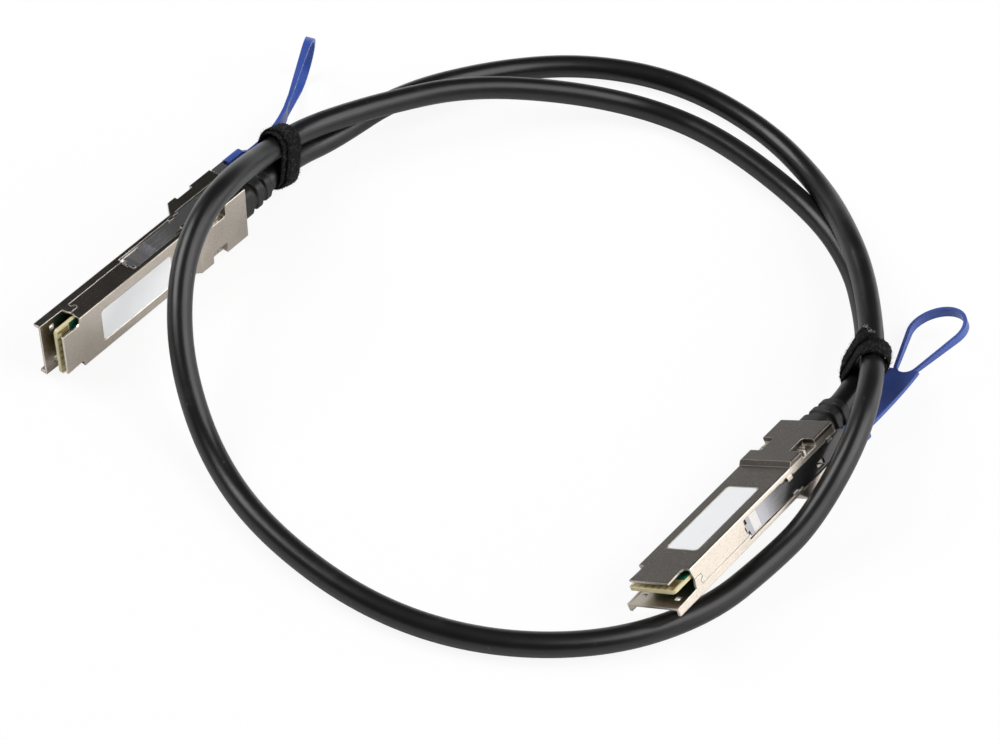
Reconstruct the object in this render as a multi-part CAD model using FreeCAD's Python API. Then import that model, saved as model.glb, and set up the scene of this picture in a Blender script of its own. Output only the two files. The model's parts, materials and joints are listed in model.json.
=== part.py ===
"""Direct attach copper cable: two pluggable ends joined by a round jacketed cable.

Millimetres, +Z up.  The cable lies on the floor z = 0 in one and a half turns held by
two ties.  Each plug is built once in its own frame: X runs from the mating end to the
rear, Y across, Z towards the label face, with z = 0 on the plug's lower long edges.
"""
import FreeCAD, Part
import math
import os
from FreeCAD import Placement, Rotation
from FreeCAD import Vector as V

os.makedirs("parts", exist_ok=True)

# ---- plug body ---------------------------------------------------------------
BODY_W = 18.35            # across the body
BODY_H = 8.5              # lower edges to the label face
PLUG_L = 76.2             # front lip to the rear face
LIP_START = 2.2           # the label-side lip starts behind the lower lip
WALL_START = 8.9          # the side walls start here
LIP_W = 14.0              # label-side lip across
TOP_T = 0.6               # label-side plate
FLOOR_T = 0.6             # lower plate
FRONT_WALL = 0.68         # side wall ahead of the latch
REAR_WALL_T = 0.8         # rear wall
CHANNEL_H = 1.65          # open channel under the lower plate
RAIL_T = 0.85             # side rails of that channel
SEAM_GAP = 0.12
HOOK_X = 11.0             # interlocking hook of the seam
HOOK_W = 1.1
HOOK_TOP = 4.95
HOOK_MID = 3.5
BEND_R = 0.45             # outer radius of the long edges

# ---- raised rear half --------------------------------------------------------
REAR_L = 20.7             # foot of the step on the label face to the rear face
STEP_RUN = 1.0
STEP_BEVEL = 0.3
RAISE_TOP = 1.2           # label face to raised face
RAISE_LOW = 3.75          # lower edge to the raised lower face
LOW_REAR_L = 21.2         # foot of the lower slope to the rear face
LOW_STEP_RUN = 3.2
POCKET_BACK = 14.9        # screw pockets, open to the sides: front end to the rear face
POCKET_L = 6.2
POCKET_IN = 4.15          # how far a pocket reaches in from the side
POCKET_DEPTH = 2.1
POCKET_WALL = 0.5
LOW_POCKET_DEPTH = 1.0
SCREW_BACK = 12.0         # screw axis to the rear face
SCREW_Y = 6.5
SCREW_HEAD_D = 2.7
SCREW_HEAD_H = 1.0
SCREW_D = 1.4
BOSS_D = 3.4

# ---- latch slide -------------------------------------------------------------
LATCH_T = 0.35            # spring steel
LATCH_TRAVEL = 1.6
ARM_FRONT = 34.0
TONGUE_L = 4.9
RAMP_L = 3.5
RAMP_OUT = 0.4
ARM_LOW = 1.35
ARM_TOP = 6.85
ARM_DROP = 0.8            # the arm's rear part lies lower by this
DROP_TOP_BACK = 26.0      # where its upper edge starts to drop, to the rear face
DROP_LOW_BACK = 19.2      # and its lower edge
WINDOW_BACK = 11.0        # lanced window of the arm, front end to the rear face
WINDOW_L = 3.4
WINDOW_H = 2.0
WINDOW_BAR = 0.5
ARM_INSET = 0.325         # outer face of the arm under the body's side
LATCH_GAP = 0.15          # sliding clearance on each face
SIDE_GAP = 0.25           # above and below the arm
LEG_L = 4.3               # legs behind the body
LEG_GAP = 0.6
TAB_BACK = 23.2           # small tabs of the shell over the arm, to the rear face
TAB_L = 2.0
TAB_T = 0.25
TAB_H = 0.75
REAR_TAB_BACK = 4.4
TIP_SLOT_L = 0.8          # slot of the shell in front of the arm's head
TIP_SLOT_H = 1.9
HEAD_L = 1.0              # small head in front of the tongue
HEAD_H = 2.2

# ---- pull tab ----------------------------------------------------------------
GRIP_BACK = 6.0           # rear face to the block moulded on the latch bridge
GRIP_L = 6.2
GRIP_H = 2.55
GRIP_SKIN = 0.6           # plastic under the bridge plate
GRIP_EDGE = 1.35          # rounding of its two lower edges
NECK_L = 4.6
STRAP_W = 10.0
STRAP_T = 1.0
FLEX_L = 22.0             # length of strap that takes the bend and the twist
FLAT_L = 3.4              # flat strap between that stretch and the finger loop
LOOP_L = 27.7             # inside
LOOP_NEAR_R = 3.2
LOOP_FAR_R = 8.1
LOOP_WALL = 1.1
LOOP_H = 2.8              # height of the loop's wall at its far end
LOOP_NEAR_H = 1.0         # and where it leaves the strap

# ---- inside the plug ---------------------------------------------------------
CARD_FRONT = 1.9
CARD_L = 29.0
CARD_W = 16.4
CARD_T = 1.0
CARD_Z = 5.35             # underside
CARD_CORNER = 1.0
CARD_REST_D = 2.2
PLATE_WINDOW = (3.4, 4.9, 5.2, 6.9)     # in the lower plate by the mouth: along, across
PAD_COUNT = 19
PAD_PITCH = 0.8
PAD_W = 0.5
PAD_T = 0.05
PAD_END = 4.6             # rear ends of the pads behind the card's front edge
PAD_INSET = 1.9           # front ends
LONG_PAD_INSET = 0.4      # front ends of every third pad
CHIP_BACK = 14.0          # memory chip, front end to the card's rear edge
CHIP = (3.4, 2.8, 0.7)    # length, width, height
CAP_X = 8.5               # small capacitors behind the card's front edge
CAP = (1.0, 0.5, 0.35)
PAIR_COUNT = 4
PAIR_PITCH = 2.3
PAIR_W = 1.8
PAIR_H = 1.0
PAIR_LAP = 3.0            # length soldered on the card
CLAMP_BACK = 17.6         # clamp's front end to the rear face
CLAMP_L = 6.0
CLAMP_GAP = 0.2           # to the walls of the screw pockets
CLAMP_Z0 = 2.7
CORE_D = 5.6
FERRULE_L = 7.0
FERRULE_WALL = 0.8
FERRULE_BACK = 9.0

# ---- strain relief and cable -------------------------------------------------
CABLE_D = 7.0
CABLE_Z = 4.85            # cable axis over the plug's lower edges
JACKET_IN = 6.4           # length of jacket held inside the strain relief
CABLE_LEAD = 5.3          # straight length past it
BOOT_BASE = (4.9, 10.4, 8.6)     # length, width, height
RING_L = 2.8
RING_GAP = 1.2
RING_1 = (9.6, 8.4)
RING_2 = (8.9, 8.2)
GROOVE = (7.8, 7.5)
BOOT_NECK_L = 0.8
BOOT_WALL = 0.3           # neck over the jacket
BOOT_R = 2.8

# ---- label -------------------------------------------------------------------
LABEL_X = 17.0
LABEL_L = 28.4
LABEL_W = 10.9
LABEL_T = 0.1
LABEL_R = 1.2
LABEL_GAP = 0.3
LABEL_RECESS = 0.15

# ---- ties --------------------------------------------------------------------
TIE_W = 6.4
TIE_T = 0.8
TIE_SHIFT = 1.8           # the outer wrap lies this much beside the inner one
TIE_GAP = 0.45

# derived
STEP_X = PLUG_L - REAR_L
LOW_STEP_X = PLUG_L - LOW_REAR_L
POCKET_X = PLUG_L - POCKET_BACK
SCREW_X = PLUG_L - SCREW_BACK
DROP_TOP_X = PLUG_L - DROP_TOP_BACK
DROP_LOW_X = PLUG_L - DROP_LOW_BACK
WINDOW_X = PLUG_L - WINDOW_BACK
TAB_X = PLUG_L - TAB_BACK
REAR_TAB_X = PLUG_L - REAR_TAB_BACK
GRIP_X = PLUG_L + GRIP_BACK
CLAMP_X = PLUG_L - CLAMP_BACK
FERRULE_X = PLUG_L - FERRULE_BACK
HALF = BODY_W / 2
TOP_Z = BODY_H + RAISE_TOP
FLOOR_Z = CHANNEL_H + FLOOR_T
SEAM_Z = FLOOR_Z
ARM_OUT = HALF - ARM_INSET
ARM_IN = ARM_OUT - LATCH_T
RECESS_Y = ARM_IN - LATCH_GAP
TONGUE_Y = RECESS_Y - RAMP_OUT
CAVITY_Y = TONGUE_Y - 0.45
LEG_X = PLUG_L + LEG_GAP
LEG_LOW = -RAISE_LOW + 0.2
BOOT_END = PLUG_L + BOOT_BASE[0] + 2 * (RING_L + RING_GAP) + BOOT_NECK_L
JACKET_X = BOOT_END - JACKET_IN
CLAMP_W = 2 * (HALF - POCKET_IN - POCKET_WALL - CLAMP_GAP)
RECESS_FRONT = ARM_FRONT - HEAD_L - 0.6
BRIDGE_END = GRIP_X + GRIP_L - 1.6
CARD_END = CARD_FRONT + CARD_L
PAIR_X = CARD_END - PAIR_LAP

# ---- where the plugs lie: rear face at the lower long edges, and turn ---------
REAR_A = Placement(V(-17.7, 84.8, 9.55), Rotation(0, 0, 83.3))
REAR_B = Placement(V(23.05, -97.23, 8.71), Rotation(-1.9, 1.0, -39.2))
PLUG_A = REAR_A.multiply(Placement(V(-PLUG_L, 0, 0), Rotation()))
PLUG_B = REAR_B.multiply(Placement(V(-PLUG_L, 0, 0), Rotation()))
# how each strap lies: bend away from the label face, sideways, twist (degrees)
TAB_LIE = {"a": (25.1, 3.5, 11.0), "b": (-6.5, -1.4, 7.5)}

# ---- cable route between the strain reliefs, chosen by hand -------------------
ROUTE = [
    (12.7, 81.4, 7.5), (26.8, 79.4, 5.1), (54.5, 75.4, 7.1), (86.8, 61.5, 3.6),
    (108.8, 41.5, 3.6), (122.8, 15.5, 3.6), (125.8, -15.1, 3.6), (117.6, -41.2, 3.6),
    (96.6, -63, 13.6), (78.8, -77.3, 17), (58, -91.7, 17.9), (38.2, -101.8, 24.1),
    (18.7, -108.8, 21.4), (-1.9, -110.6, 12), (-16.2, -107.5, 8), (-39.2, -102.5, 3.6),
    (-66.2, -88.5, 3.6), (-87.2, -63.5, 3.6), (-98.2, -34.5, 3.6), (-98.2, -0.5, 3.6),
    (-89.2, 26.5, 4.5), (-74, 44.7, 16.5), (-61.8, 61.7, 25.3), (-45.5, 70.8, 31.2),
    (-26.4, 75.3, 30.9), (2.1, 82.8, 16.9), (19.1, 82.6, 13.7), (42.6, 74.4, 13.1),
    (67.8, 60.5, 13), (89.8, 36.5, 9), (105.8, 13.5, 3.6), (109.1, -11.8, 5.1),
    (104.2, -47, 3.6), (91.4, -67.5, 5), (77.1, -80, 6.3), (64.4, -88.1, 9.3), (53.7, -92.1, 12),
]
# where the ties hold two strands together, and the way the cable runs there
TIE_A = (V(3.1, 81.5, 13.1), V(0.93, 0.0, -0.33))
TIE_B = (V(51.9, -93.4, 15.9), V(0.9, 0.4, -0.15))


def box(x0, x1, y0, y1, z0, z1):
    """Block between two corners."""
    return Part.makeBox(x1 - x0, y1 - y0, z1 - z0, V(x0, y0, z0))


def both_sides(shape):
    """A shape and its mirror image across the plug's middle."""
    return shape.fuse(shape.mirror(V(0, 0, 0), V(0, 1, 0)))


def prism(points, plane, a, b):
    """Polygon in the plane "xz", "xy" or "yz", carried from a to b along the third axis."""
    if plane == "xz":
        place, run = (lambda p: V(p[0], a, p[1])), V(0, b - a, 0)
    elif plane == "xy":
        place, run = (lambda p: V(p[0], p[1], a)), V(0, 0, b - a)
    else:
        place, run = (lambda p: V(a, p[0], p[1])), V(b - a, 0, 0)
    wire = Part.makePolygon([place(p) for p in points] + [place(points[0])])
    return Part.Face(wire).extrude(run)


def rod(radius, start, run):
    """Cylinder from a point along a vector."""
    return Part.makeCylinder(radius, run.Length, start, run)


def round_edges(shape, radius, wanted):
    """Fillet the edges that wanted() picks."""
    edges = [e for e in shape.Edges if wanted(e)]
    return shape.makeFillet(radius, edges) if edges else shape


def along_x(edge):
    d = edge.tangentAt(edge.FirstParameter)
    return abs(d.x) > 0.999


def upright(edge):
    d = edge.tangentAt(edge.FirstParameter)
    return abs(d.z) > 0.999


def rounded_block(x0, x1, width, height, zc, radius):
    """Block along X with rounded long edges, centred at y = 0 and z = zc."""
    b = box(x0, x1, -width / 2, width / 2, zc - height / 2, zc + height / 2)
    return round_edges(b, radius, along_x)


# ---- shells ------------------------------------------------------------------
def seam_line(offset):
    """Joint line from the front to the rear: along, a hook, then straight."""
    z = SEAM_Z + offset
    return [
        (WALL_START + 0.35, HOOK_TOP + offset),
        (HOOK_X + HOOK_W - 0.3 + offset, HOOK_TOP + offset),
        (HOOK_X + HOOK_W + offset, HOOK_MID + 0.5 - offset),
        (HOOK_X + offset, HOOK_MID - offset),
        (HOOK_X + 0.15 + offset, z),
        (PLUG_L, z),
    ]


def latch_recess(grow_low):
    """Hollow in one side for the latch arm, its tongue and its travel."""
    low, top = ARM_LOW - SIDE_GAP, ARM_TOP + SIDE_GAP
    reach = HALF + 1
    front_end = DROP_TOP_X + ARM_DROP + LATCH_TRAVEL + LATCH_GAP
    front = box(RECESS_FRONT, front_end, RECESS_Y, reach, low - grow_low, top)
    middle = box(front_end - 1, PLUG_L + 1, RECESS_Y, reach, low - grow_low, top - ARM_DROP)
    rear = box(DROP_LOW_X - LATCH_GAP, PLUG_L + 1, RECESS_Y, reach,
               low - ARM_DROP - grow_low, top - ARM_DROP)
    tongue_end = ARM_FRONT + TONGUE_L + RAMP_L + LATCH_TRAVEL + 0.4
    tongue = box(RECESS_FRONT, tongue_end, TONGUE_Y, reach, low - grow_low, top)
    return both_sides(front.fuse(middle).fuse(rear).fuse(tongue))


def rear_hole():
    return rod(CORE_D / 2 + 0.2, V(PLUG_L - REAR_WALL_T - 1, 0, CABLE_Z), V(3, 0, 0))


def screw_axis(side, z):
    return V(SCREW_X, side * SCREW_Y, z)


def label_shell():
    outline = [
        (WALL_START, BODY_H), (STEP_X, BODY_H),
        (STEP_X + STEP_RUN - STEP_BEVEL / 2, TOP_Z - STEP_BEVEL),
        (STEP_X + STEP_RUN + STEP_BEVEL / 2, TOP_Z), (PLUG_L, TOP_Z),
    ] + seam_line(SEAM_GAP)[::-1]
    body = prism(outline, "xz", -HALF, HALF)
    body = round_edges(body, BEND_R, lambda e: along_x(e) and e.BoundBox.ZMin > BODY_H - 0.1)
    lip = LIP_W / 2
    plan = [
        (LIP_START, -lip), (WALL_START - 1, -lip + 0.25), (WALL_START - 0.2, -lip - 0.1),
        (WALL_START, -HALF + BEND_R), (WALL_START + 2, -HALF + BEND_R),
    ]
    plan += [(x, -y) for x, y in plan[::-1]]
    body = body.fuse(prism(plan, "xy", BODY_H - TOP_T, BODY_H))
    front_y = HALF - FRONT_WALL
    front = box(0, RECESS_FRONT - 0.8, -front_y, front_y, 0, BODY_H - TOP_T)
    rear = box(RECESS_FRONT - 1, PLUG_L - REAR_WALL_T, -CAVITY_Y, CAVITY_Y, 0, BODY_H - TOP_T)
    raised = box(STEP_X + STEP_RUN, PLUG_L - REAR_WALL_T, -CAVITY_Y, CAVITY_Y, 0, TOP_Z - TOP_T)
    body = body.cut(front.fuse(rear).fuse(raised))
    pocket_y = HALF - POCKET_IN
    floor_z = TOP_Z - POCKET_DEPTH
    seat = box(POCKET_X - POCKET_WALL, POCKET_X + POCKET_L + POCKET_WALL,
               pocket_y - POCKET_WALL, CAVITY_Y + 0.1, floor_z - POCKET_WALL, TOP_Z - 0.05)
    body = body.fuse(both_sides(seat))
    pocket = box(POCKET_X, POCKET_X + POCKET_L, pocket_y, HALF + 1, floor_z, TOP_Z + 1)
    pocket = round_edges(pocket, 0.8, lambda e: upright(e) and e.BoundBox.YMax < HALF)
    body = body.cut(both_sides(pocket)).cut(latch_recess(2)).cut(rear_hole())
    recess = box(LABEL_X - LABEL_GAP, LABEL_X + LABEL_L + LABEL_GAP,
                 -LABEL_W / 2 - LABEL_GAP, LABEL_W / 2 + LABEL_GAP, BODY_H - LABEL_RECESS, BODY_H + 1)
    body = body.cut(round_edges(recess, LABEL_R, upright))
    hole = rod(SCREW_D / 2 + 0.1, screw_axis(1, floor_z - 2), V(0, 0, 3))
    body = body.cut(both_sides(hole))
    middle = (ARM_LOW + ARM_TOP) / 2
    slot = box(RECESS_FRONT - TIP_SLOT_L / 2, RECESS_FRONT + TIP_SLOT_L / 2, CAVITY_Y - 1, HALF + 1,
               middle - TIP_SLOT_H / 2, middle + TIP_SLOT_H / 2)
    body = body.cut(both_sides(slot))
    z_tab = ARM_TOP - ARM_DROP + SIDE_GAP
    for x in (TAB_X, REAR_TAB_X):
        tab = box(x, x + TAB_L, HALF - 0.175, HALF - 0.175 + TAB_T, z_tab - TAB_H, z_tab + 0.4)
        slots = box(x - 0.5, x, RECESS_Y, HALF + 1, z_tab - 0.1, z_tab + 0.45).fuse(
            box(x + TAB_L, x + TAB_L + 0.5, RECESS_Y, HALF + 1, z_tab - 0.1, z_tab + 0.45))
        body = body.cut(both_sides(slots)).fuse(both_sides(tab))
    return body.removeSplitter()


def bottom_shell():
    outline = [(0, 0), (0, FLOOR_Z), (WALL_START - 0.3, FLOOR_Z + 0.25)] + seam_line(0) + [
        (PLUG_L, -RAISE_LOW), (LOW_STEP_X + LOW_STEP_RUN, -RAISE_LOW), (LOW_STEP_X, 0)]
    body = prism(outline, "xz", -HALF, HALF)
    front_y = HALF - FRONT_WALL
    body = body.cut(box(-1, RECESS_FRONT - 0.8, -front_y, front_y, FLOOR_Z, BODY_H))
    body = body.cut(box(RECESS_FRONT - 1, PLUG_L - REAR_WALL_T, -CAVITY_Y, CAVITY_Y, FLOOR_Z, BODY_H))
    deep = LOW_STEP_X + LOW_STEP_RUN + 0.6
    body = body.cut(box(deep, PLUG_L - REAR_WALL_T, -CAVITY_Y, CAVITY_Y, -RAISE_LOW + 0.75, BODY_H))
    channel_y = HALF - RAIL_T
    body = body.cut(box(-1, LOW_STEP_X - 0.8, -channel_y, channel_y, -1, CHANNEL_H))
    pocket = box(POCKET_X, POCKET_X + POCKET_L, HALF - POCKET_IN, HALF + 1,
                 -RAISE_LOW - 1, -RAISE_LOW + LOW_POCKET_DEPTH)
    seat = box(POCKET_X - POCKET_WALL, POCKET_X + POCKET_L + POCKET_WALL, HALF - POCKET_IN - POCKET_WALL,
               CAVITY_Y + 0.1, -RAISE_LOW + 0.05, -RAISE_LOW + LOW_POCKET_DEPTH + POCKET_WALL)
    body = body.fuse(both_sides(seat)).cut(both_sides(pocket))
    low = -RAISE_LOW + LOW_POCKET_DEPTH + 0.1
    boss_top = TOP_Z - POCKET_DEPTH - POCKET_WALL
    boss = rod(BOSS_D / 2, screw_axis(1, low), V(0, 0, boss_top - low))
    boss = boss.common(box(0, PLUG_L, 0, CAVITY_Y - 0.1, -10, 10))
    rest = rod(CARD_REST_D / 2, V(CARD_END - 4, CARD_W / 2 - 2.2, CHANNEL_H + 0.1),
               V(0, 0, CARD_Z - CHANNEL_H - 0.1))
    body = body.fuse(both_sides(boss)).fuse(both_sides(rest))
    hole = rod(SCREW_D / 2, screw_axis(1, 0), V(0, 0, 12))
    window = box(*PLATE_WINDOW, 0, FLOOR_Z + 1)
    body = body.cut(both_sides(hole)).cut(both_sides(window)).cut(rear_hole())
    body = body.cut(latch_recess(0))
    z_tab = ARM_LOW - SIDE_GAP
    tab = box(TAB_X, TAB_X + TAB_L, HALF - 0.175, HALF - 0.175 + TAB_T, z_tab - 0.4, z_tab + TAB_H)
    return body.fuse(both_sides(tab)).removeSplitter()


# ---- inside ------------------------------------------------------------------
def card():
    board = box(CARD_FRONT, CARD_END, -CARD_W / 2, CARD_W / 2, CARD_Z, CARD_Z + CARD_T)
    return round_edges(board, CARD_CORNER, lambda e: upright(e) and e.BoundBox.XMax < CARD_FRONT + 1)


def pads():
    """Contact pads in two rows, one on each face of the card; every third is longer."""
    first = -(PAD_COUNT - 1) * PAD_PITCH / 2
    out = []
    for i in range(PAD_COUNT):
        y = first + i * PAD_PITCH - PAD_W / 2
        x = CARD_FRONT + (LONG_PAD_INSET if i % 3 == 0 else PAD_INSET)
        for z in (CARD_Z - PAD_T, CARD_Z + CARD_T):
            out.append(box(x, CARD_FRONT + PAD_END, y, y + PAD_W, z, z + PAD_T))
    return Part.Compound(out)


def chips():
    """Memory chip and small capacitors on the card."""
    top = CARD_Z + CARD_T
    x = CARD_END - CHIP_BACK
    out = [box(x, x + CHIP[0], -CHIP[1] / 2, CHIP[1] / 2, top, top + CHIP[2])]
    x = CARD_FRONT + CAP_X
    for i in range(PAIR_COUNT):
        y = (i - (PAIR_COUNT - 1) / 2) * PAIR_PITCH * 1.5
        out.append(box(x, x + CAP[0], y - CAP[1] / 2, y + CAP[1] / 2, top, top + CAP[2]))
    return Part.Compound(out)


def wire_pairs():
    """Flat shielded pairs from both faces of the card to the clamp."""
    out = []
    for i in range(PAIR_COUNT):
        y = (i - (PAIR_COUNT - 1) / 2) * PAIR_PITCH
        for zc in (CARD_Z + CARD_T + PAIR_H / 2, CARD_Z - PAIR_H / 2):
            pair = box(PAIR_X, CLAMP_X, y - PAIR_W / 2, y + PAIR_W / 2, zc - PAIR_H / 2, zc + PAIR_H / 2)
            out.append(round_edges(pair, PAIR_H * 0.45, along_x))
    return Part.Compound(out)


def wire_clamp():
    top = TOP_Z - TOP_T
    return rounded_block(CLAMP_X, CLAMP_X + CLAMP_L, CLAMP_W, top - CLAMP_Z0, (top + CLAMP_Z0) / 2, 0.8)


def cable_core():
    """Braided core that the jacket leaves bare inside the plug."""
    x = CLAMP_X + CLAMP_L
    return rod(CORE_D / 2, V(x, 0, CABLE_Z), V(JACKET_X - x, 0, 0))


def ferrule():
    outer = rod(CORE_D / 2 + FERRULE_WALL, V(FERRULE_X, 0, CABLE_Z), V(FERRULE_L, 0, 0))
    return outer.cut(rod(CORE_D / 2, V(FERRULE_X - 1, 0, CABLE_Z), V(FERRULE_L + 2, 0, 0)))


def screws():
    seat = TOP_Z - POCKET_DEPTH
    one = rod(SCREW_HEAD_D / 2, screw_axis(1, seat), V(0, 0, SCREW_HEAD_H))
    one = one.fuse(rod(SCREW_D / 2, screw_axis(1, 0.5), V(0, 0, seat - 0.5)))
    slot = box(SCREW_X - 2, SCREW_X + 2, SCREW_Y - 0.2, SCREW_Y + 0.2,
               seat + SCREW_HEAD_H - 0.4, seat + SCREW_HEAD_H + 1)
    across = slot.rotated(screw_axis(1, 0), V(0, 0, 1), 90)
    one = one.cut(slot).cut(across)
    return Part.Compound([one, one.mirror(V(0, 0, 0), V(0, 1, 0))])


def label():
    z = BODY_H - LABEL_RECESS
    plate = box(LABEL_X, LABEL_X + LABEL_L, -LABEL_W / 2, LABEL_W / 2, z, z + LABEL_T)
    return round_edges(plate, LABEL_R, upright)


# ---- latch slide -------------------------------------------------------------
def latch():
    """Two spring arms, their legs behind the body and the bridge across them."""
    step = ARM_FRONT + TONGUE_L
    plan = [
        (ARM_FRONT - HEAD_L, ARM_IN - RAMP_OUT), (step, ARM_IN - RAMP_OUT), (step + RAMP_L, ARM_IN),
        (LEG_X + LEG_L, ARM_IN), (LEG_X + LEG_L, ARM_OUT), (step + RAMP_L, ARM_OUT),
        (step, ARM_OUT - RAMP_OUT), (ARM_FRONT - HEAD_L, ARM_OUT - RAMP_OUT),
    ]
    strip = prism(plan, "xy", LEG_LOW, BODY_H)
    mid = (ARM_LOW + ARM_TOP) / 2
    low, top = ARM_LOW - ARM_DROP, ARM_TOP - ARM_DROP
    side = [
        (ARM_FRONT - HEAD_L, mid - HEAD_H / 2), (ARM_FRONT, mid - HEAD_H / 2), (ARM_FRONT, ARM_LOW),
        (DROP_LOW_X, ARM_LOW), (DROP_LOW_X + ARM_DROP, low), (LEG_X, low), (LEG_X, LEG_LOW),
        (LEG_X + LEG_L, LEG_LOW), (LEG_X + LEG_L, mid), (LEG_X + 1.2, top),
        (DROP_TOP_X + ARM_DROP, top), (DROP_TOP_X, ARM_TOP), (ARM_FRONT, ARM_TOP),
        (ARM_FRONT, mid + HEAD_H / 2), (ARM_FRONT - HEAD_L, mid + HEAD_H / 2),
    ]
    arm = strip.common(prism(side, "xz", 0, HALF))
    x0, x1 = WINDOW_X, WINDOW_X + WINDOW_L
    z0, z1 = low + 0.5, low + 0.5 + WINDOW_H
    for corner in ([(x0, z0), (x1 - WINDOW_BAR, z0), (x0, z1 - WINDOW_BAR / 2)],
                   [(x1, z1), (x0 + WINDOW_BAR, z1), (x1, z0 + WINDOW_BAR / 2)]):
        arm = arm.cut(prism(corner, "xz", 0, HALF))
    bridge = box(LEG_X, BRIDGE_END, -ARM_OUT, ARM_OUT, LEG_LOW, LEG_LOW + LATCH_T)
    return both_sides(arm).fuse(bridge).removeSplitter()


# ---- pull tab ----------------------------------------------------------------
def egg(near_x, length, r_near, r_far, z0, z1):
    """Rounded teardrop plate: a small and a large circle joined by their tangents."""
    a, b = near_x + r_near, near_x + length - r_far
    lean = math.asin((r_far - r_near) / (b - a))
    s, c = math.sin(lean), math.cos(lean)
    far = [V(b - r_far * s, r_far * c, z0), V(b + r_far, 0, z0), V(b - r_far * s, -r_far * c, z0)]
    near = [V(a - r_near * s, -r_near * c, z0), V(a - r_near, 0, z0), V(a - r_near * s, r_near * c, z0)]
    edges = [
        Part.Arc(*far).toShape(), Part.LineSegment(far[2], near[0]).toShape(),
        Part.Arc(*near).toShape(), Part.LineSegment(near[2], far[0]).toShape(),
    ]
    return Part.Face(Part.Wire(edges)).extrude(V(0, 0, z1 - z0))


def strap_frames(start, lie, count):
    """Places along the flexing stretch of the strap, bent and twisted evenly."""
    bend, yaw, twist = lie
    fine = 12
    at, frames = start, [Placement(start, Rotation())]
    for i in range(count * fine):
        part = (i + 0.5) / (count * fine)
        turn = Rotation(yaw * part, bend * part, 0)
        at = at + turn.multVec(V(FLEX_L / (count * fine), 0, 0))
        if (i + 1) % fine == 0:
            part = (i + 1) / (count * fine)
            frames.append(Placement(at, Rotation(yaw * part, bend * part, twist * part)))
    return frames


def pull_tab(lie):
    """Block moulded on the latch bridge, a flat flexible strap and the finger loop."""
    low = LEG_LOW - GRIP_SKIN
    neck_x = GRIP_X + GRIP_L
    grip = box(GRIP_X, neck_x, -HALF, HALF, low, low + GRIP_H)
    grip = round_edges(grip, GRIP_EDGE, lambda e: along_x(e) and e.BoundBox.ZMax < low + 0.1)
    grip = round_edges(grip, 0.5, lambda e: along_x(e) and e.BoundBox.ZMin > low + 1.5)
    flex_x = neck_x + NECK_L
    half, thin = STRAP_W / 2, STRAP_T / 2
    edge = HALF - GRIP_EDGE
    neck = prism([(neck_x - 0.6, -edge), (neck_x, -edge), (flex_x, -half), (flex_x, half),
                  (neck_x, edge), (neck_x - 0.6, edge)], "xy", low, low + STRAP_T)
    frames = strap_frames(V(flex_x, 0, low + thin), lie, 4)
    corners = [V(0, -half, -thin), V(0, half, -thin), V(0, half, thin), V(0, -half, thin)]
    rings = [Part.makePolygon([f.multVec(c) for c in corners + corners[:1]]) for f in frames]
    flex = Part.makeLoft(rings, True, False)
    left = FLAT_L
    z, near = LOOP_H / 2, LOOP_NEAR_H / 2
    flat = box(0, left + LOOP_WALL, -half, half, -thin, thin)
    ring = egg(left - LOOP_WALL, LOOP_L + 2 * LOOP_WALL, LOOP_NEAR_R + LOOP_WALL,
               LOOP_FAR_R + LOOP_WALL, -z, z)
    far_x = left + LOOP_L + LOOP_WALL
    ring = ring.common(prism([(left - LOOP_WALL, -near), (far_x, -z), (far_x, z),
                              (left - LOOP_WALL, near)], "xz", -2 * LOOP_FAR_R, 2 * LOOP_FAR_R))
    end = flat.fuse(ring).cut(egg(left, LOOP_L, LOOP_NEAR_R, LOOP_FAR_R, -z - 1, z + 1))
    end.Placement = frames[-1]
    tab = grip.fuse(neck).fuse(flex).fuse(end)
    bridge = box(LEG_X, BRIDGE_END, -ARM_OUT, ARM_OUT, LEG_LOW, LEG_LOW + LATCH_T)
    legs = both_sides(box(LEG_X, LEG_X + LEG_L, ARM_IN, ARM_OUT, LEG_LOW, ARM_TOP))
    return tab.cut(bridge.fuse(legs)).removeSplitter()


# ---- strain relief -----------------------------------------------------------
def boot():
    """Base block, two ribs with grooves between them, and a thin neck on the jacket."""
    length, width, height = BOOT_BASE
    zc = CABLE_Z
    x = PLUG_L
    body = rounded_block(x, x + length, width, height, zc, BOOT_R)
    x += length
    for w, h in (RING_1, RING_2):
        body = body.fuse(rounded_block(x - 0.1, x + RING_GAP + 0.1, GROOVE[0], GROOVE[1], zc, BOOT_R))
        body = body.fuse(rounded_block(x + RING_GAP, x + RING_GAP + RING_L, w, h, zc, BOOT_R))
        x += RING_GAP + RING_L
    body = body.fuse(rod(CABLE_D / 2 + BOOT_WALL, V(x, 0, zc), V(BOOT_NECK_L, 0, 0)))
    core_bore = rod(CORE_D / 2, V(PLUG_L - 1, 0, zc), V(BOOT_END - PLUG_L + 2, 0, 0))
    jacket_bore = rod(CABLE_D / 2, V(JACKET_X, 0, zc), V(JACKET_IN + 1, 0, 0))
    return body.cut(core_bore).cut(jacket_bore).removeSplitter()


# ---- cable and ties ----------------------------------------------------------
def cable_points():
    """The route, with a straight run through each strain relief added."""
    ends = [V(JACKET_X, 0, CABLE_Z), V(BOOT_END + CABLE_LEAD, 0, CABLE_Z)]
    first = [PLUG_A.multVec(p) for p in ends]
    last = [PLUG_B.multVec(p) for p in ends[::-1]]
    return first + [V(*p) for p in ROUTE] + last


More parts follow.
